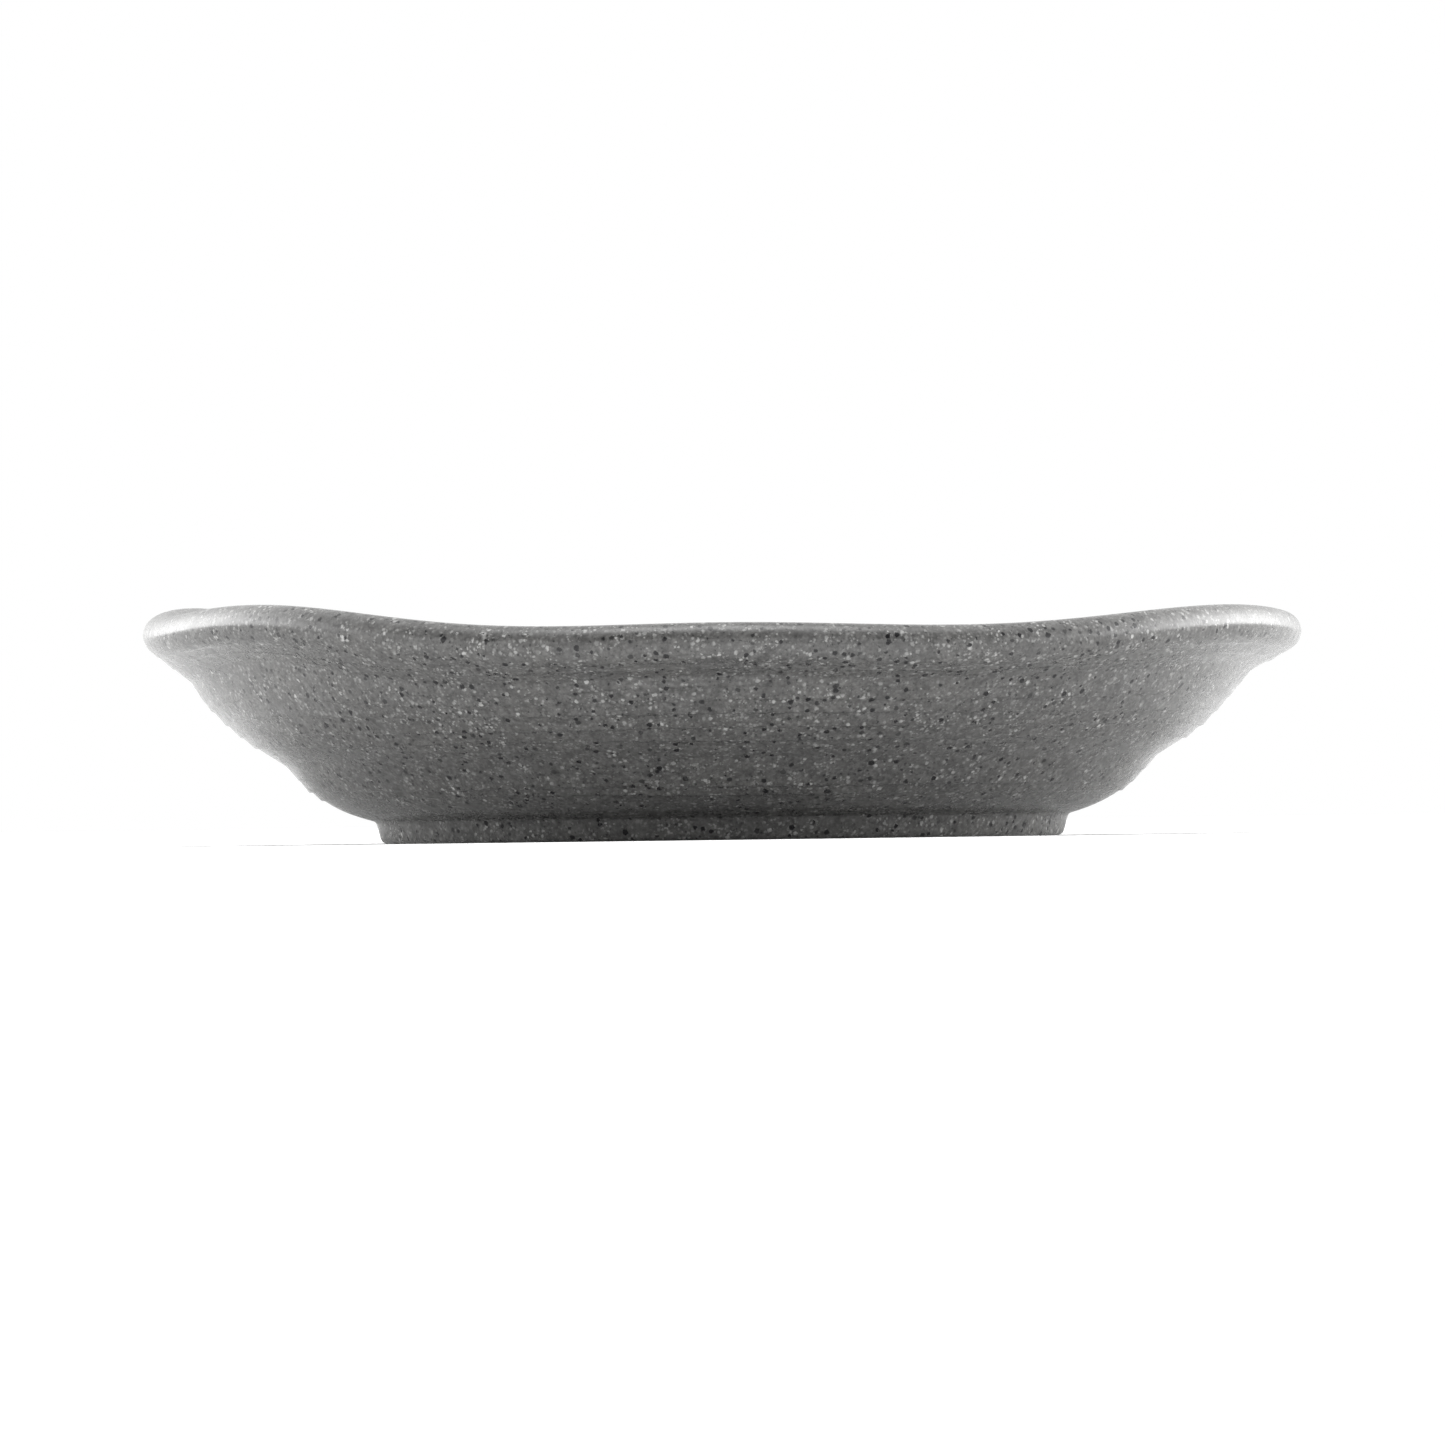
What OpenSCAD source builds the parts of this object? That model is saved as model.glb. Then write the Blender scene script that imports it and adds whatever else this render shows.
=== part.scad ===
// Chip and dip server in speckled stoneware: a round, shallow dish with a ringed wall and a wavy
// rolled lip, and a loose dip bowl that stands in a low locating ring in the middle of its floor.
// +Z is up, the origin is the centre of the foot ring, on the table. Millimetres and degrees.

/* [Dish] */
// Mean radius of the lip's centre line
lip_r = 145.5; // [143:0.5:148]
// Mean height of the lip's centre line above the table
lip_z = 52.6; // [51:0.1:56]
// Radius of the lip's round cross-section
lip_round = 5; // [4:0.25:6]
// Strength of the waves in the rim, where 1 is the hand-shaped rim and 0 is a level one
rim_wave = 1; // [0:0.1:1.2]
// Extra radius of the lip at both ends, taken away at the front and back
lip_oval = 2; // [0:0.5:3]
// Height of the floor's upper face above the table
floor_z = 10; // [9:0.5:11]
// Height of the hollow under the floor
recess_z = 4; // [2:0.5:5]

/* [Foot ring] */
// Outer radius of the face that stands on the table
foot_r = 88.5; // [86:0.5:89]
// Width of the face that stands on the table
foot_w = 5; // [4:0.5:6]

/* [Locating ring] */
// Gap all round between the dip bowl's foot and the locating ring
seat_gap = 0.6; // [0.4:0.1:1.5]
// Width of the locating ring
seat_w = 3.8; // [3:0.2:5]
// Height of the locating ring above the floor
seat_h = 2.5; // [1.9:0.1:3.5]

/* [Dip bowl] */
// Mean radius of the dip bowl's lip centre line
bowl_lip_r = 55; // [53:0.5:57]
// Mean height of the dip bowl, from its foot to the top of its lip
bowl_h = 42; // [40:0.5:44]
// Radius of the dip bowl's round lip
bowl_lip_round = 2.75; // [2.25:0.25:3]
// Outer radius of the dip bowl's foot
bowl_foot_r = 28.5; // [28:0.5:29]

/* [Hidden] */

stoneware = [0.46, 0.46, 0.455];
dish_columns = 96;
bowl_columns = 72;
round_steps = 14;
ring_steps = 6;
line_steps = 3;
fillet_steps = 5;
$fn = 96;

// Waves round a rim: how many go round, their height, and the angle of one crest
DISH_WAVES = [[1, 1.3, 183], [2, 3.45, 3.8], [5, 1.15, 20.3], [6, 1.8, 33.9], [8, 0.2, 39.3]];
BOWL_WAVES = [[2, 0.5, 100], [5, 0.5, 10], [6, 0.7, 45]];

// Waves of the dish's fold under the lip, besides its share of the rim's waves
FOLD_WAVES = [[4, 0.5, 38], [5, 0.75, -9], [6, 0.9, 29], [7, 0.65, -7]];

// Share of the rim's waves that moves the fold outside, and the top of the straight wall inside
fold_share = 0.65;
wall_share = 0.4;

// How late the waves' share rises between the middle groove and the fold, where 1 is evenly
share_rise = 4;

// Sideways shift of the dish's lip against its foot
lip_shift = 0.6;

// How far the locating ring reaches down into the floor
seat_root = 2;

// Outside of the dish: the crease above the foot ring and the two grooves between the throwing rings
crease = [89.6, 5.3];
groove_low = [114.6, 20.8];
groove_high = [138.2, 42.9];
ring_low_bulge = 2.45;
ring_low_skew = 0.95;
ring_high_bulge = 2.2;

// Inside of the dish: the point where the straight wall turns into the lip, and the fillet at the floor
wall_top = [131, 44.4];
wall_slope = 41.8;
floor_fillet = 24;

// Foot ring: how far it leans out by its top, and how far it runs up inside the wall
foot_lean = 3.1;
foot_top = 8;
foot_edge_round = 1.6;
foot_inner_lean = 1.2;

// The same places on the dip bowl, counted from its own foot
bowl_recess_z = 2.5;
bowl_floor_z = 7;
bowl_foot_w = 3.2;
bowl_foot_lean = 1;
bowl_foot_inner_lean = 0.5;
bowl_foot_top = 5.5;
bowl_foot_edge_round = 0.8;
bowl_crease = [28.6, 3.2];
bowl_groove_low = [42.5, 16.5];
bowl_groove_high = [51.2, 33];
bowl_ring_bulge = 1.2;
bowl_wall_top = [46.5, 33.5];
bowl_wall_slope = 64;
bowl_floor_fillet = 28;

function total(list, i = 0) = i < len(list) ? list[i] + total(list, i + 1) : 0;
function polar(centre, r, angle) = centre + r * [cos(angle), sin(angle)];
function bearing(a, b) = atan2(b.y - a.y, b.x - a.x);

// Height of a rim's waves at an angle
function wave_at(waves, angle) = total([for (w = waves) w[1] * cos(w[0] * (angle - w[2]))]);

// Where the line from a point touches the upper (side 1) or lower (side -1) side of a circle, as an angle
function touch_angle(from, centre, r, side) =
    bearing(from, centre) + side * (asin(r / norm(centre - from)) + 90);

// Section points are [radius, height, share of the rim's waves that moves them]
function still(p) = [p.x, p.y, 0];

// Points from a up to b, without b, that bulge outwards between them as one throwing ring
function throwing_ring(a, b, bulge, skew, share_b) =
    let (out = bearing(a, b) - 90)
    [
        for (i = [0:ring_steps - 1])
        let (t = i / ring_steps, p = polar(a + (b - a) * t, bulge * sin(180 * pow(t, skew)), out))
        [p.x, p.y, share_b * pow(t, share_rise)]
    ];

// Points from a to b, without b, along which the share of the waves goes from share_a to share_b
function leaning_line(a, b, share_a, share_b) = [
    for (i = [0:line_steps - 1])
    let (t = i / line_steps, p = a + (b - a) * t)
    [p.x, p.y, share_a + (share_b - share_a) * t]
];

// Points round the lip between two angles, without the last
function lip_arc(centre, r, first, last) = [
    for (i = [0:round_steps - 1])
    let (p = polar(centre, r, first + (last - first) * i / round_steps))
    [p.x, p.y, 1]
];

// Fillet from a straight wall that ends at wall_end down to the floor at height z
function floor_arc(wall_end, slope, fillet, z) =
    let (
        corner = wall_end.x - (wall_end.y - z) / tan(slope),
        centre = [corner - fillet * tan(slope / 2), z + fillet]
    )
    [
        for (i = [0:fillet_steps])
        still(polar(centre, fillet, slope * (1 - i / fillet_steps) - 90))
    ];

// Whole section of a vessel: up the ringed outside, over the lip, and down the inside to the floor
function vessel_section(outside, bulges, skew, lip, round, wall_end, slope, fillet, z) =
    let (
        groove = outside[2],
        first = touch_angle(groove, lip, round, -1),
        last = touch_angle(wall_end, lip, round, 1)
    )
    concat(
        throwing_ring(outside[0], outside[1], bulges[0], skew, 0),
        throwing_ring(outside[1], groove, bulges[1], 1, fold_share),
        leaning_line(groove, polar(lip, round, first), fold_share, 1),
        lip_arc(lip, round, first, last),
        leaning_line(polar(lip, round, last), wall_end, 1, wall_share),
        [[wall_end.x, wall_end.y, wall_share]],
        floor_arc(wall_end, slope, fillet, z)
    );

// Closed skin through a section carried round the axis
module waved_skin(section, columns, waves, fold, strength, oval, shift) {
    rows = len(section);
    points = [
        for (i = [0:columns - 1])
        let (
            angle = 360 * i / columns,
            rise = strength * wave_at(waves, angle),
            lift = strength * wave_at(fold, angle),
            reach = oval * cos(2 * angle) + shift * cos(angle)
        )
        for (p = section)
        let (r = p[0] + p[2] * reach, between = 4 * p[2] * (1 - p[2]))
        [r * cos(angle), r * sin(angle), p[1] + p[2] * rise + between * lift]
    ];
    sides = [
        for (i = [0:columns - 1])
        for (j = [0:rows - 2])
        let (
            a = i * rows + j,
            b = (i + 1) % columns * rows + j
        )
        each [[a, a + 1, b + 1], [a, b + 1, b]]
    ];
    bottom = [for (i = [0:columns - 1]) i * rows];
    top = [for (i = [columns - 1:-1:0]) i * rows + rows - 1];
    polyhedron(points, concat(sides, [bottom, top]));
}

// Ring that stands on its flat lower face, its outer edge rounded and its sides leaning
module foot(r, width, lean, inner_lean, top, edge) {
    rotate_extrude()
        polygon(concat(
            [[r - width, 0]],
            [for (i = [0:5]) polar([r, edge], edge, -90 + 15 * i)],
            [[r + lean, top], [r - width - inner_lean, top]]
        ));
}

module chip_dish() {
    section = vessel_section(
        [crease, groove_low, groove_high], [ring_low_bulge, ring_high_bulge], ring_low_skew,
        [lip_r, lip_z], lip_round, wall_top, wall_slope, floor_fillet, floor_z
    );
    under = [foot_r - foot_w / 2, recess_z, 0];
    color(stoneware) {
        waved_skin(
            concat([under], section), dish_columns, DISH_WAVES, FOLD_WAVES, rim_wave, lip_oval, lip_shift
        );
        foot(foot_r, foot_w, foot_lean, foot_inner_lean, foot_top, foot_edge_round);
        locating_ring();
    }
}

// Low ring with a round top that keeps the dip bowl in the middle
module locating_ring() {
    inner = bowl_foot_r + bowl_foot_lean + seat_gap;
    middle = inner + seat_w / 2;
    rotate_extrude()
        polygon(concat(
            [[inner, floor_z - seat_root], [inner + seat_w, floor_z - seat_root]],
            [
                for (i = [0:8])
                [middle + seat_w / 2 * cos(22.5 * i), floor_z + seat_h * sin(22.5 * i)]
            ]
        ));
}

module dip_bowl() {
    section = vessel_section(
        [bowl_crease, bowl_groove_low, bowl_groove_high], [bowl_ring_bulge, bowl_ring_bulge], 1,
        [bowl_lip_r, bowl_h - bowl_lip_round], bowl_lip_round,
        bowl_wall_top, bowl_wall_slope, bowl_floor_fillet, bowl_floor_z
    );
    under = [bowl_foot_r - bowl_foot_w / 2, bowl_recess_z, 0];
    color(stoneware)
        translate([0, 0, floor_z]) {
            waved_skin(concat([under], section), bowl_columns, BOWL_WAVES, [], rim_wave, 0, 0);
            foot(
                bowl_foot_r, bowl_foot_w, bowl_foot_lean, bowl_foot_inner_lean,
                bowl_foot_top, bowl_foot_edge_round
            );
        }
}

chip_dish();
dip_bowl();
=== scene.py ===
"""Looks of the chip and dip server: a speckled grey stoneware dish with a wavy rim, and its loose dip bowl.

Both pieces are turned from a section and stand for the CAD nodes of the same names. Sections are in
millimetres, measured from the axis and from the table, as in the CAD model; MM turns them into metres.
"""

import math

import bpy
import numpy as np
from mathutils import Matrix, Vector


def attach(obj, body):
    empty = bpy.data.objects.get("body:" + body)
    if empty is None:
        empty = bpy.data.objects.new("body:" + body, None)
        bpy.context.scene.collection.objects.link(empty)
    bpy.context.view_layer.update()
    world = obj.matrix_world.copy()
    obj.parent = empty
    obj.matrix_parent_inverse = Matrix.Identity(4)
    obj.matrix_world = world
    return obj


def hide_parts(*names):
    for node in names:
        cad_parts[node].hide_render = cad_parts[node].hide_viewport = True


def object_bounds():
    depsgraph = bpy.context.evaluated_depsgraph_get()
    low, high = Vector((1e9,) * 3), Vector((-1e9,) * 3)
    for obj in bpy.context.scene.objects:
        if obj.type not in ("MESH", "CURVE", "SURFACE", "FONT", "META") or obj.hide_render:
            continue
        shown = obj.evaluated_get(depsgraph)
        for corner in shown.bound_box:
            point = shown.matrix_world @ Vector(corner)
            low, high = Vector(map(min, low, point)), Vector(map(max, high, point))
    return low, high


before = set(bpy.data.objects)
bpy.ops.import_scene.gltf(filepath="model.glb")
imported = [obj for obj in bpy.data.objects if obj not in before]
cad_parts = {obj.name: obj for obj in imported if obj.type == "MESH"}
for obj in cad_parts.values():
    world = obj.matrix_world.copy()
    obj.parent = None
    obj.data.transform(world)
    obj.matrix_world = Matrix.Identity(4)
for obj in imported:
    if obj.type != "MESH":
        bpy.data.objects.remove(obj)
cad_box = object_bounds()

MM = 0.001

# ---------------------------------------------------------------- sizes shared with the CAD model

# Waves round a rim: how many go round, their height in mm, and the angle of one crest in degrees
DISH_WAVES = ((1, 1.3, 183), (2, 3.45, 3.8), (5, 1.15, 20.3), (6, 1.8, 33.9), (8, 0.2, 39.3))
BOWL_WAVES = ((2, 0.5, 100), (5, 0.5, 10), (6, 0.7, 45))
FOLD_WAVES = ((4, 0.5, 38), (5, 0.75, -9), (6, 0.9, 29), (7, 0.65, -7))
FOLD_SHARE = 0.65
WALL_SHARE = 0.4
SHARE_RISE = 4
LIP_OVAL = 2.0
LIP_SHIFT = 0.6
DISH_FLOOR = 10.0

# Between the points of a section, before it is softened
SAMPLE = 0.2

# ---------------------------------------------------------------- marks of the maker's hand

# Steps on the outside: height on the level section, and how far the wall moves out there
DISH_LEDGES = (
    (11.8, 0.58), (14.0, 0.50), (17.4, 0.18), (25.5, 0.65), (28.7, 0.58), (32.3, 0.48),
    (36.0, 0.34), (39.2, 0.18), (45.3, 0.38), (47.4, 0.22),
)
BOWL_LEDGE_HEIGHTS = (17.5, 20.5, 30.0, 33.5, 37.0, 44.6)
BOWL_LEDGE = 0.15

# Softer steps on the inside: radii, and how far the surface moves there
DISH_WALL_RIDGES, DISH_WALL_RIDGE = np.arange(92, 138, 6.4), 0.16
DISH_FLOOR_RIDGES, DISH_FLOOR_RIDGE = np.arange(42, 90, 7.0), 0.10
BOWL_RIDGES, BOWL_RIDGE = (20, 25, 30, 34.5, 38.5, 42, 45, 48), 0.10

# Slow out-of-roundness: how many go round, the pitch up the wall in mm, and a phase
UNEVEN_TURNS = ((2, 90, 0.4), (3, 47, 1.9), (5, 31, 4.1), (7, 24, 0.8), (9, 17, 2.7))
DISH_UNEVEN, BOWL_UNEVEN = 0.10, 0.06

# Mesh: columns round the axis, rows along the section, and the spacing of the rows on the outside,
# the inner wall and the flat stretches
DISH_MESH = (192, 500, (0.34, 1.0, 2.4))
BOWL_MESH = (192, 300, (0.42, 0.42, 1.0))


# ---------------------------------------------------------------- sections
# A stretch of a section is an array of [radius, height, share of the rim's waves that moves it].

def polar(centre, radius, degrees):
    angle = math.radians(degrees)
    return (centre[0] + radius * math.cos(angle), centre[1] + radius * math.sin(angle))


def bearing(a, b):
    return math.degrees(math.atan2(b[1] - a[1], b[0] - a[0]))


def touch_angle(point, centre, radius, side):
    """Angle on a circle where the line from a point touches its upper (side 1) or lower (-1) side."""
    reach = math.dist(point, centre)
    return bearing(point, centre) + side * (math.degrees(math.asin(radius / reach)) + 90)


def line(a, b, shares=(0, 0)):
    t = np.linspace(0, 1, max(3, int(math.dist(a, b) / SAMPLE)))[:, None]
    return np.hstack([np.array(a) * (1 - t) + np.array(b) * t, shares[0] * (1 - t) + shares[1] * t])


def arc(centre, radius, first, last, share=0):
    count = max(6, int(abs(math.radians(last - first)) * radius / SAMPLE))
    angle = np.radians(np.linspace(first, last, count))
    return np.column_stack([
        centre[0] + radius * np.cos(angle),
        centre[1] + radius * np.sin(angle),
        np.full(count, float(share)),
    ])


def throwing_ring(a, b, bulge, skew=1.0, shares=(0, 0)):
    """From a up to b, bulging outwards between them."""
    path = line(a, b, shares)
    t = np.linspace(0, 1, len(path))
    path[:, 2] = shares[0] + (shares[1] - shares[0]) * t ** SHARE_RISE
    out = math.radians(bearing(a, b) - 90)
    push = bulge * np.sin(math.pi * t ** skew)
    path[:, 0] += push * math.cos(out)
    path[:, 1] += push * math.sin(out)
    return path


def lip(outside, inside, centre, radius):
    """Straight underside from the last groove, the round lip, and straight down to the inner wall."""
    first = touch_angle(outside, centre, radius, -1)
    last = touch_angle(inside, centre, radius, 1)
    return [
        line(outside, polar(centre, radius, first), (FOLD_SHARE, 1)),
        arc(centre, radius, first, last, 1),
        line(polar(centre, radius, last), inside, (1, WALL_SHARE)),
    ]


def inner_wall(top, slope, fillet, floor):
    """Straight wall, and the fillet that brings it down to the floor."""
    corner = top[0] - (top[1] - floor) / math.tan(math.radians(slope))
    centre = (corner - fillet * math.tan(math.radians(slope / 2)), floor + fillet)
    end = polar(centre, fillet, slope - 90)
    return [line(top, end, (WALL_SHARE, 0)), arc(centre, fillet, slope - 90, -90)]


def soften(stretches, radius):
    """One evenly sampled path with its corners rounded. The ends stay where they are."""
    path = np.vstack([s[:-1] for s in stretches] + [stretches[-1][-1:]])
    step = np.linalg.norm(np.diff(path[:, :2], axis=0), axis=1)
    along = np.concatenate([[0], np.cumsum(np.maximum(step, 1e-6))])
    even = np.linspace(0, along[-1], int(along[-1] / SAMPLE) + 1)
    path = np.column_stack([np.interp(even, along, path[:, k]) for k in range(3)])
    reach = int(4 * radius / SAMPLE)
    weights = np.exp(-0.5 * (np.arange(-reach, reach + 1) * SAMPLE / radius) ** 2)
    weights /= weights.sum()
    padded = np.vstack([
        2 * path[0] - path[reach:0:-1],
        path,
        2 * path[-1] - path[-2:-reach - 2:-1],
    ])
    return even, np.column_stack([np.convolve(padded[:, k], weights, "valid") for k in range(3)])


def wave(waves, angle):
    total = np.zeros_like(angle)
    for count, height, crest in waves:
        total += height * np.cos(count * (angle - math.radians(crest)))
    return total


# ---------------------------------------------------------------- the dish's and the bowl's sections

def dish_section():
    floor, wall_top, lip_centre, lip_radius = DISH_FLOOR, (131, 44.4), (145.5, 52.6), 5
    foot_in, foot_out, foot_round, crease = 83.5, 88.5, 1.6, (91.2, 5.8)
    low, high = (114.6, 20.8), (138.2, 42.9)
    seat_in, seat_width, seat_height = 30.1, 3.8, 2.5
    seat_mid = seat_in + seat_width / 2
    stretches = [
        line((0, 4), (foot_in - 0.8, 4)),
        line((foot_in - 0.8, 4), (foot_in, 0)),
        line((foot_in, 0), (foot_out, 0)),
        arc((foot_out, foot_round), foot_round, -90, -12),
        line((foot_out + foot_round, foot_round), crease),
        throwing_ring(crease, low, 2.45, 0.95),
        throwing_ring(low, high, 2.2, 1, (0, FOLD_SHARE)),
        *lip(high, wall_top, lip_centre, lip_radius),
        *inner_wall(wall_top, 41.8, 24, floor),
        line((83.4, floor), (seat_in + seat_width, floor)),
        throwing_ring((seat_in + seat_width, floor), (seat_mid, floor + seat_height), 0.6),
        throwing_ring((seat_mid, floor + seat_height), (seat_in, floor), 0.6),
        line((seat_in, floor), (0, floor)),
    ]
    return soften(stretches, 0.55)


def bowl_section():
    foot, lip_centre, lip_radius, wall_top = DISH_FLOOR, (55, 49.25), 2.75, (46.5, 43.5)
    crease, low, high = (28.9, foot + 3.3), (42.5, foot + 16.5), (51.2, foot + 33)
    stretches = [
        line((0, foot + 2.5), (24.9, foot + 2.5)),
        line((24.9, foot + 2.5), (25.4, foot)),
        line((25.4, foot), (28.8, foot)),
        line((28.8, foot), crease),
        throwing_ring(crease, low, 1.2),
        throwing_ring(low, high, 1.2, 1, (0, FOLD_SHARE)),
        *lip(high, wall_top, lip_centre, lip_radius),
        *inner_wall(wall_top, 64, 28, foot + 7),
        line((16.1, foot + 7), (0, foot + 7)),
    ]
    return soften(stretches, 0.35)


# ---------------------------------------------------------------- turned pieces

class Ledges:
    """The small steps between throwing rings. At each step the wall moves out, and comes back above it."""

    def __init__(self, along, path):
        self.along, self.path = along, path
        self.steps = []
        self.top = int(np.argmax(path[:, 0]))

    def outside(self, height, size, width=0.28, back=2.6):
        """A step on the outside, at a height on the level section."""
        rows = slice(int(np.argmax(self.path[:, 0] > 0.6 * self.path[:, 0].max())), self.top)
        z = np.maximum.accumulate(self.path[rows, 1])
        self.steps.append((np.interp(height, z, self.along[rows]), size, width, back))

    def inside(self, radius, size, width=0.9, back=3.5):
        """A softer step on the inside, at a radius."""
        r = self.path[self.top:, 0][::-1]
        self.steps.append((np.interp(radius, r, self.along[self.top:][::-1]), size, width, back))

    def push(self, along, angle):
        """How far the steps push the surface out, for each row and column."""
        total = np.zeros((len(along), len(angle)))
        for number, (place, size, width, back) in enumerate(self.steps):
            phase = 2.4 * number
            drift = 0.2 * np.sin(2 * angle + phase) + 0.12 * np.sin(5 * angle - phase)
            above = along[:, None] - place - drift
            rise = 0.5 * (1 + np.tanh(above / width))
            fade = np.exp(-np.maximum(above, 0) / back)
            strength = size * (1 + 0.3 * np.sin(3 * angle + 2 * phase) + 0.2 * np.sin(7 * angle - phase))
            total += strength * rise * fade
        return total


def unevenness(along, angle, amount):
    """The slow, small out-of-roundness of a hand-turned wall."""
    total = np.zeros((len(along), len(angle)))
    for count, pitch, phase in UNEVEN_TURNS:
        turn = 2 * math.pi * along[:, None] / pitch
        total += np.sin(count * angle + turn + phase) / math.sqrt(count)
    return amount * total / 2


def row_places(along, path, fine, medium, coarse, rows):
    """Rows packed closely on the marked outside, further apart on the inner wall, and furthest apart on
    flat stretches. There are more of them wherever the section turns."""
    tangent = np.gradient(path[:, :2], along, axis=0)
    turn = np.abs(np.gradient(np.unwrap(np.arctan2(tangent[:, 1], tangent[:, 0])), along))
    wall = path[:, 0] > 0.52 * path[:, 0].max()
    inner = along > along[np.argmax(path[:, 0])]
    spacing = np.where(wall, np.where(inner, medium, fine), coarse)
    density = 1 / spacing + 3 * np.minimum(turn, 0.6)
    total = np.concatenate([[0], np.cumsum(0.5 * (density[1:] + density[:-1]) * np.diff(along))])
    return np.interp(np.linspace(0, total[-1], rows), total, along)


def turned_faces(rings, columns):
    """Faces between the rings of a turned mesh, and the fans that close it under and over them."""
    faces = []
    for j in range(rings - 1):
        for i in range(columns):
            k = (i + 1) % columns
            here, above = j * columns, (j + 1) * columns
            faces.append((here + i, here + k, above + k, above + i))
    bottom, top = rings * columns, rings * columns + 1
    last = (rings - 1) * columns
    for i in range(columns):
        k = (i + 1) % columns
        faces.append((bottom, k, i))
        faces.append((top, last + i, last + k))
    return faces


def turned(name, section, ledges, waves, density, uneven, fold=(), oval=0.0, shift=0.0):
    """A closed, smooth mesh: the section carried round the axis, waved at the rim, and marked."""
    along, path = section
    columns, rows, spacing = density
    places = row_places(along, path, *spacing, rows)
    r, z, share = (np.interp(places, along, path[:, k]) for k in range(3))
    tangent = np.gradient(np.column_stack([r, z]), places, axis=0)
    tangent /= np.linalg.norm(tangent, axis=1)[:, None]
    angle = np.linspace(0, 2 * math.pi, columns, endpoint=False)

    quiet = np.clip((r - 4) / 20, 0, 1) * np.clip((z - z.min()) / 3, 0, 1)
    push = (ledges.push(places, angle) + unevenness(places, angle, uneven)) * quiet[:, None]
    reach = oval * np.cos(2 * angle) + shift * np.cos(angle)
    radius = r[:, None] + share[:, None] * reach + push * tangent[:, 1:]
    height = z[:, None] + share[:, None] * wave(waves, angle) - push * tangent[:, :1]
    height += (4 * share * (1 - share))[:, None] * wave(fold, angle)

    grid = np.stack([radius * np.cos(angle), radius * np.sin(angle), height], axis=-1)[1:-1]
    verts = np.vstack([grid.reshape(-1, 3), [[0, 0, z[0]]], [[0, 0, z[-1]]]]) * MM
    faces = turned_faces(len(grid), columns)
    mesh = bpy.data.meshes.new(name)
    mesh.from_pydata(verts.tolist(), [], faces)
    mesh.shade_smooth()
    mesh.update()
    piece = bpy.data.objects.new(name, mesh)
    bpy.context.scene.collection.objects.link(piece)
    return piece


def make_dish():
    section = dish_section()
    ledges = Ledges(*section)
    for height, size in DISH_LEDGES:
        ledges.outside(height, size)
    for radius in DISH_WALL_RIDGES:
        ledges.inside(radius, DISH_WALL_RIDGE)
    for radius in DISH_FLOOR_RIDGES:
        ledges.inside(radius, DISH_FLOOR_RIDGE)
    return turned(
        "chip_dish_glazed", section, ledges, DISH_WAVES, DISH_MESH, DISH_UNEVEN,
        FOLD_WAVES, LIP_OVAL, LIP_SHIFT,
    )


def make_bowl():
    section = bowl_section()
    ledges = Ledges(*section)
    for height in BOWL_LEDGE_HEIGHTS:
        ledges.outside(height, BOWL_LEDGE, 0.3, 1.6)
    for radius in BOWL_RIDGES:
        ledges.inside(radius, BOWL_RIDGE, 0.7, 2.0)
    return turned("dip_bowl_glazed", section, ledges, BOWL_WAVES, BOWL_MESH, BOWL_UNEVEN)


# ---------------------------------------------------------------- material

GLAZE_DARK = (0.090, 0.090, 0.0895, 1)
GLAZE_LIGHT = (0.116, 0.114, 0.109, 1)
WHITE_SPECK = (0.46, 0.46, 0.45, 1)
BLACK_SPECK = (0.008, 0.008, 0.009, 1)

# Sizes of specks: one to a cell of this size, the largest radius, the soft edge (mm), and the strength
WHITE_SPECKS = ((0.85, 0.50, 0.18, 0.80), (1.35, 0.78, 0.28, 1.05))
BLACK_SPECKS = ((1.3, 0.42, 0.18, 0.75), (2.25, 0.92, 0.16, 1.0))

# Moves the specks of one piece against the other's
DISH_SEED, BOWL_SEED = 0.0, 0.37


class Nodes:
    """Short calls that add and link the nodes of one material."""

    def __init__(self, tree):
        self.tree = tree

    def add(self, kind, values=None, **settings):
        node = self.tree.nodes.new(kind)
        for key, value in settings.items():
            setattr(node, key, value)
        for key, value in (values or {}).items():
            if isinstance(value, bpy.types.NodeSocket):
                self.tree.links.new(value, node.inputs[key])
            else:
                node.inputs[key].default_value = value
        return node

    def math(self, operation, a, b=0.0, clamp=False):
        return self.add("ShaderNodeMath", {0: a, 1: b}, operation=operation, use_clamp=clamp).outputs[0]

    def vector(self, operation, values, output="Vector"):
        return self.add("ShaderNodeVectorMath", values, operation=operation).outputs[output]

    def mix(self, factor, a, b):
        node = self.add("ShaderNodeMix", {0: factor, 6: a, 7: b}, data_type="RGBA")
        return node.outputs[2]

    def shade(self, colour, amount):
        """The colour, made lighter or darker by an amount."""
        grey = self.add("ShaderNodeCombineColor", {0: amount, 1: amount, 2: amount}).outputs[0]
        values = {0: 1.0, 6: colour, 7: grey}
        node = self.add("ShaderNodeMix", values, data_type="RGBA", blend_type="MULTIPLY")
        return node.outputs[2]

    def noise(self, place, scale, detail=2.0, roughness=0.5):
        values = {"Vector": place, "Scale": scale, "Detail": detail, "Roughness": roughness}
        return self.add("ShaderNodeTexNoise", values).outputs

    def smooth(self, value, at_none, at_full):
        """Rises smoothly from 0 to 1 as the value goes from one limit to the other."""
        values = {0: value, 1: at_none, 2: at_full, 3: 0.0, 4: 1.0}
        return self.add("ShaderNodeMapRange", values, interpolation_type="SMOOTHSTEP").outputs[0]

    def spread(self, value, low, high, to_low, to_high):
        values = {0: value, 1: low, 2: high, 3: to_low, 4: to_high}
        return self.add("ShaderNodeMapRange", values).outputs[0]


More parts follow.
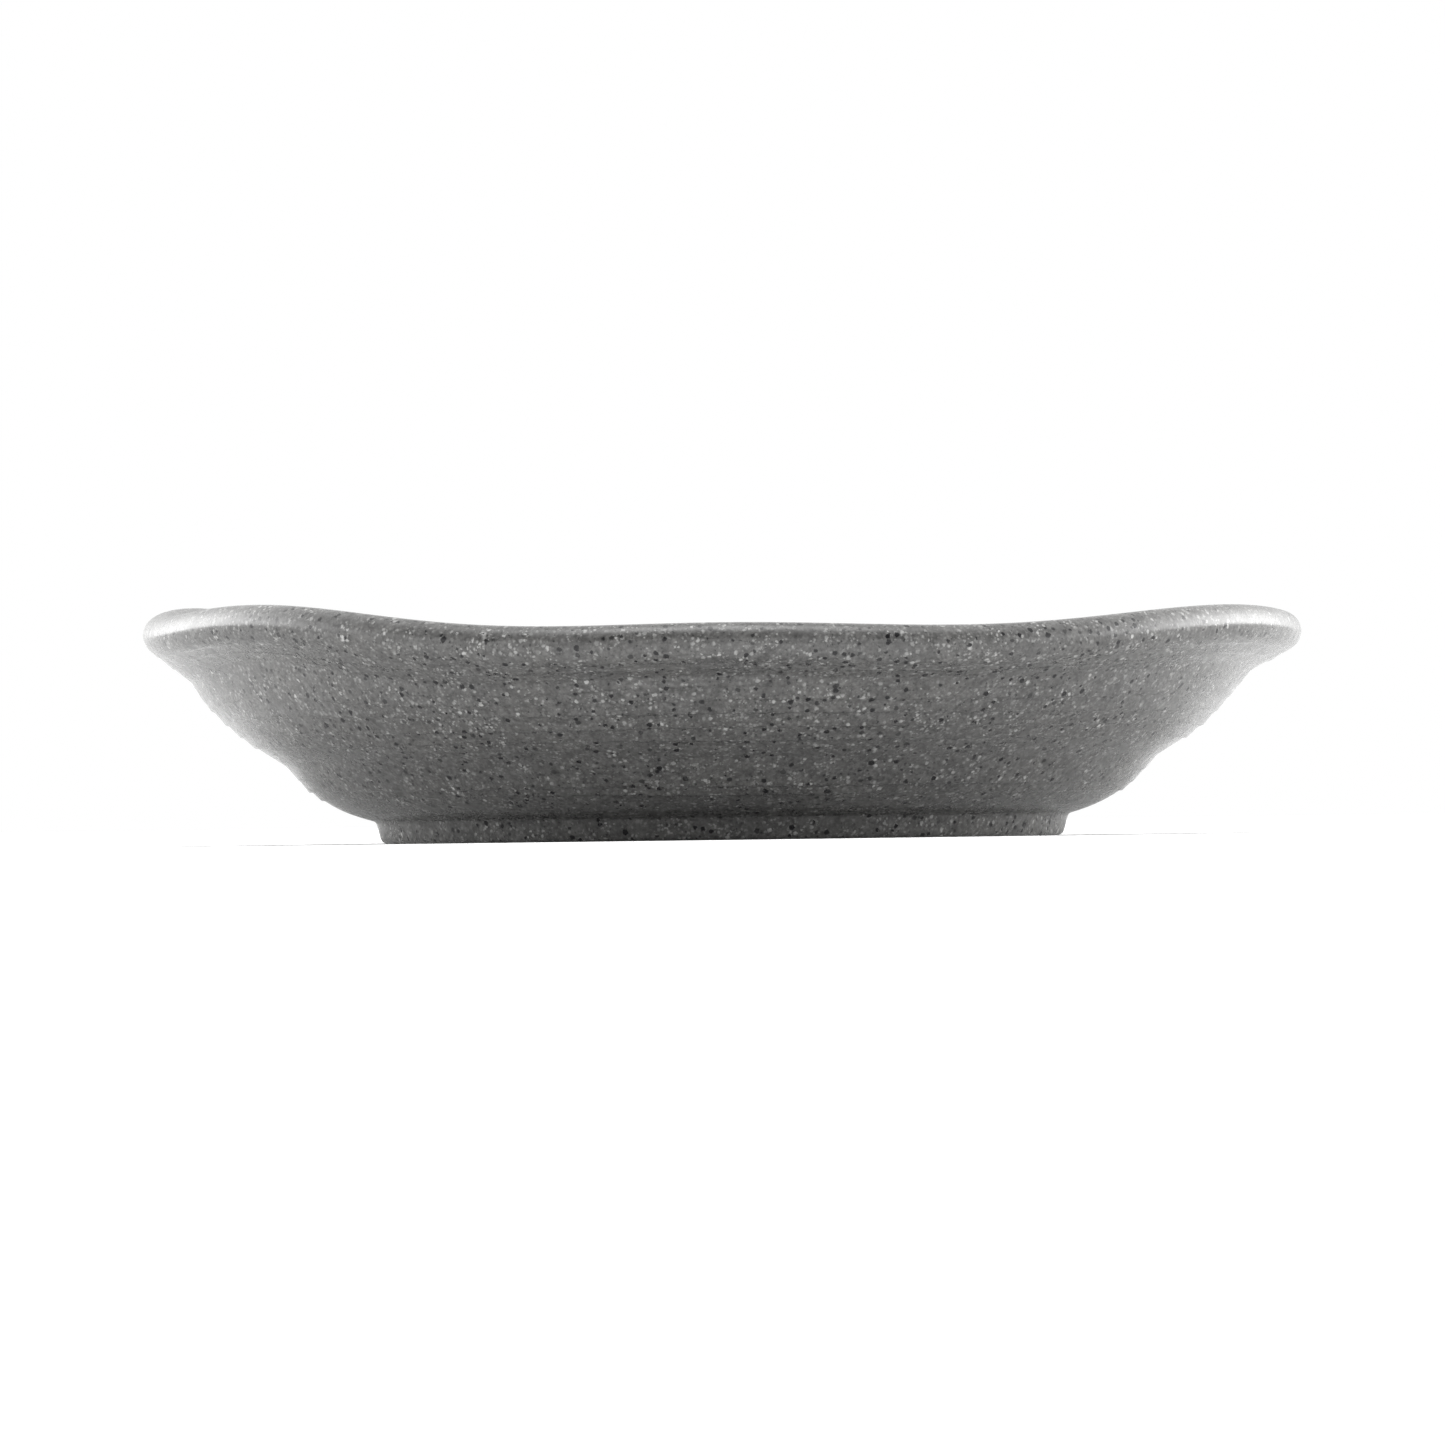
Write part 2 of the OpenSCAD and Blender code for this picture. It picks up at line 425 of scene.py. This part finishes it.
def specks(nodes, place, cell, largest, soft):
    """Round specks, one to each cell of that size in mm, and each with its own radius. Returns the
    mask and a random number for each speck."""
    cells = nodes.add("ShaderNodeTexVoronoi", {"Vector": place, "Scale": 1 / cell})
    distance = nodes.math("MULTIPLY", cells.outputs["Distance"], cell)
    chance = nodes.add("ShaderNodeSeparateColor", {0: cells.outputs["Color"]}).outputs
    radius = nodes.math("MULTIPLY", chance[0], largest)
    edge = nodes.math("SUBTRACT", radius, distance)
    return nodes.math("DIVIDE", edge, soft, clamp=True), chance[1]


def speckled_stoneware(name, seed):
    """Satin grey glaze with black iron specks, softer white specks and a faint mottle."""
    material = bpy.data.materials.new(name)
    material.use_nodes = True
    tree = material.node_tree
    tree.nodes.clear()
    nodes = Nodes(tree)
    here = nodes.add("ShaderNodeTexCoord").outputs["Object"]
    shifted = nodes.add(
        "ShaderNodeMapping",
        {"Vector": here, "Location": (seed, 2 * seed, 3 * seed), "Scale": (1000, 1000, 1000)},
    ).outputs[0]
    warp = nodes.noise(shifted, 1.3, 2.0)["Color"]
    warp = nodes.vector("SUBTRACT", {0: warp, 1: (0.5, 0.5, 0.5)})
    warp = nodes.vector("SCALE", {0: warp, "Scale": 0.9})
    place = nodes.vector("ADD", {0: shifted, 1: warp})

    mottle = nodes.noise(shifted, 0.06, 3.0)["Fac"]
    colour = nodes.mix(mottle, GLAZE_DARK, GLAZE_LIGHT)
    cloud = nodes.spread(nodes.noise(shifted, 0.30, 2.0)["Fac"], 0.3, 0.7, 0.80, 1.20)
    grain = nodes.spread(nodes.noise(shifted, 0.9, 3.0, 0.6)["Fac"], 0.28, 0.72, 0.58, 1.42)
    colour = nodes.shade(colour, nodes.math("MULTIPLY", cloud, grain))

    clusters = nodes.spread(nodes.noise(shifted, 0.24, 2.5)["Fac"], 0.36, 0.64, 0.10, 1.0)
    for cell, largest, soft, strength in WHITE_SPECKS:
        mask, chance = specks(nodes, place, cell, largest, soft)
        mask = nodes.math("MULTIPLY", mask, nodes.spread(chance, 0, 1, 0.1 * strength, strength))
        mask = nodes.math("MULTIPLY", mask, clusters)
        colour = nodes.mix(mask, colour, WHITE_SPECK)
    for cell, largest, soft, strength in BLACK_SPECKS:
        mask, chance = specks(nodes, place, cell, largest, soft)
        mask = nodes.math("MULTIPLY", mask, nodes.spread(chance, 0, 0.5, 0.65 * strength, strength))
        colour = nodes.mix(mask, colour, BLACK_SPECK)
    largest_black = mask

    rough = nodes.spread(nodes.noise(shifted, 0.25, 3.0)["Fac"], 0.3, 0.7, 0.24, 0.30)
    swell = nodes.noise(shifted, 0.35, 2.0)["Fac"]
    pitted = nodes.math("SUBTRACT", swell, nodes.math("MULTIPLY", largest_black, 0.6))
    relief = {"Height": pitted, "Distance": 0.00001, "Strength": 0.4}
    bump = nodes.add("ShaderNodeBump", relief).outputs[0]
    glaze = {"Base Color": colour, "Roughness": rough, "Normal": bump}
    shader = nodes.add("ShaderNodeBsdfPrincipled", glaze)
    shader.inputs["IOR"].default_value = 1.5
    end = nodes.add("ShaderNodeOutputMaterial")
    tree.links.new(shader.outputs[0], end.inputs[0])
    return material


# ---------------------------------------------------------------- studio

# Softboxes: azimuth and height in degrees, strength, and how small and sharp each one is
LEFT_SOFTBOX = (-119, 7, 7.2, 7.0)
RIGHT_SOFTBOX = (114, 7, 8.4, 7.0)
TOP_SOFTBOX = (0, 90, 6.0, 17.0)

# White backdrop behind the dish: its strength
BACKDROP = 0.72

# Low band of light in front: its height and width as the sine of an angle, and its strength
BAND_HEIGHT, BAND_WIDTH, BAND_STRENGTH = 0.229, 0.094, 2.2

# Floor: its colour, and how far it reaches each way, in metres
FLOOR_COLOUR = (0.88, 0.88, 0.88, 1)
FLOOR_REACH = 30.0

# Camera: sensor in mm, distance and height in metres, roll in degrees, where it aims in metres, and how
# wide its view is, as a share of the dish's width
SENSOR = 36
CAMERA_DISTANCE, CAMERA_HEIGHT, CAMERA_ROLL = 3.2, 0.0045, -0.7516
AIM_ASIDE, AIM_HEIGHT = -0.0002, 0.0308
VIEW_WIDTH = 1.2489


def shining_lobe(nodes, toward, azimuth, height, strength, sharpness):
    """Light from a soft round patch of the studio. Azimuth is from the camera's side, to the right."""
    turn, lift = math.radians(azimuth), math.radians(height)
    centre = (math.sin(turn) * math.cos(lift), -math.cos(turn) * math.cos(lift), math.sin(lift))
    along = nodes.vector("DOT_PRODUCT", {0: toward, 1: centre}, "Value")
    falloff = nodes.math("MULTIPLY", nodes.math("SUBTRACT", along, 1.0), sharpness)
    return nodes.math("MULTIPLY", nodes.math("EXPONENT", falloff), strength)


def make_world():
    """White all round for the camera. The light comes from a softbox on each side, a little behind the
    dish, from a smaller one overhead, and weakly from a low band in front."""
    world = bpy.data.worlds.new("studio")
    bpy.context.scene.world = world
    world.use_nodes = True
    tree = world.node_tree
    tree.nodes.clear()
    nodes = Nodes(tree)
    toward = nodes.add("ShaderNodeTexCoord").outputs["Generated"]
    light = shining_lobe(nodes, toward, *LEFT_SOFTBOX)
    for softbox in (RIGHT_SOFTBOX, TOP_SOFTBOX):
        light = nodes.math("ADD", light, shining_lobe(nodes, toward, *softbox))
    split = nodes.add("ShaderNodeSeparateXYZ", {0: toward}).outputs
    off = nodes.math("DIVIDE", nodes.math("SUBTRACT", split[2], BAND_HEIGHT), BAND_WIDTH)
    band = nodes.math("EXPONENT", nodes.math("MULTIPLY", nodes.math("MULTIPLY", off, off), -1.0))
    front = nodes.smooth(split[1], 0.6, -0.6)
    band = nodes.math("MULTIPLY", nodes.math("MULTIPLY", band, front), BAND_STRENGTH)
    light = nodes.math("ADD", light, band)
    backdrop = nodes.math("MULTIPLY", nodes.smooth(split[1], 0.2, 0.7), BACKDROP)
    light = nodes.math("ADD", light, backdrop)
    lit = nodes.add("ShaderNodeBackground", {"Color": (1, 1, 1, 1), "Strength": light})
    seen = nodes.add("ShaderNodeBackground", {"Color": (1, 1, 1, 1), "Strength": 1.0})
    camera = nodes.add("ShaderNodeLightPath").outputs["Is Camera Ray"]
    mixed = nodes.add("ShaderNodeMixShader", {0: camera, 1: lit.outputs[0], 2: seen.outputs[0]})
    end = nodes.add("ShaderNodeOutputWorld")
    tree.links.new(mixed.outputs[0], end.inputs[0])


def floor_material():
    """Plain, pale and matt, the same for every ray."""
    material = bpy.data.materials.new("pale_floor")
    material.use_nodes = True
    tree = material.node_tree
    tree.nodes.clear()
    nodes = Nodes(tree)
    pale = nodes.add("ShaderNodeBsdfDiffuse", {"Color": FLOOR_COLOUR})
    end = nodes.add("ShaderNodeOutputMaterial")
    tree.links.new(pale.outputs[0], end.inputs[0])
    return material


def make_floor():
    mesh = bpy.data.meshes.new("floor")
    corners = [(-1, -1), (1, -1), (1, 1), (-1, 1)]
    mesh.from_pydata([(x * FLOOR_REACH, y * FLOOR_REACH, 0) for x, y in corners], [], [(0, 1, 2, 3)])
    floor = bpy.data.objects.new("floor", mesh)
    bpy.context.scene.collection.objects.link(floor)
    mesh.materials.append(floor_material())


def make_camera(low, high):
    """Almost at table height, far off with a long lens, tipped by three quarters of a degree."""
    camera = bpy.data.cameras.new("camera")
    camera.sensor_width = SENSOR
    camera.lens = SENSOR * CAMERA_DISTANCE / (VIEW_WIDTH * (high.x - low.x))
    camera.clip_start, camera.clip_end = 0.05, 100
    seat = bpy.data.objects.new("camera", camera)
    bpy.context.scene.collection.objects.link(seat)
    target = Vector(((low.x + high.x) / 2 + AIM_ASIDE, 0, AIM_HEIGHT))
    seat.location = Vector((target.x, -CAMERA_DISTANCE, CAMERA_HEIGHT))
    aim = (target - seat.location).to_track_quat("-Z", "Y").to_matrix()
    roll = Matrix.Rotation(math.radians(CAMERA_ROLL), 3, "Z")
    seat.rotation_mode = "QUATERNION"
    seat.rotation_quaternion = (aim @ roll).to_quaternion()
    bpy.context.scene.camera = seat


# ---------------------------------------------------------------- the scene

low, high = cad_box
make_camera(low, high)
make_world()
make_floor()

dish = make_dish()
bowl = make_bowl()
dish.data.materials.append(speckled_stoneware("speckled_stoneware", DISH_SEED))
bowl.data.materials.append(speckled_stoneware("dip_bowl_stoneware", BOWL_SEED))
for piece, body, node, slot in (
    (dish, "dish", "chip_dish", "speckled_stoneware"),
    (bowl, "bowl", "dip_bowl", "dip_bowl_stoneware"),
):
    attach(piece, body)
    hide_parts(node)

bpy.context.scene.view_settings.view_transform = "Standard"
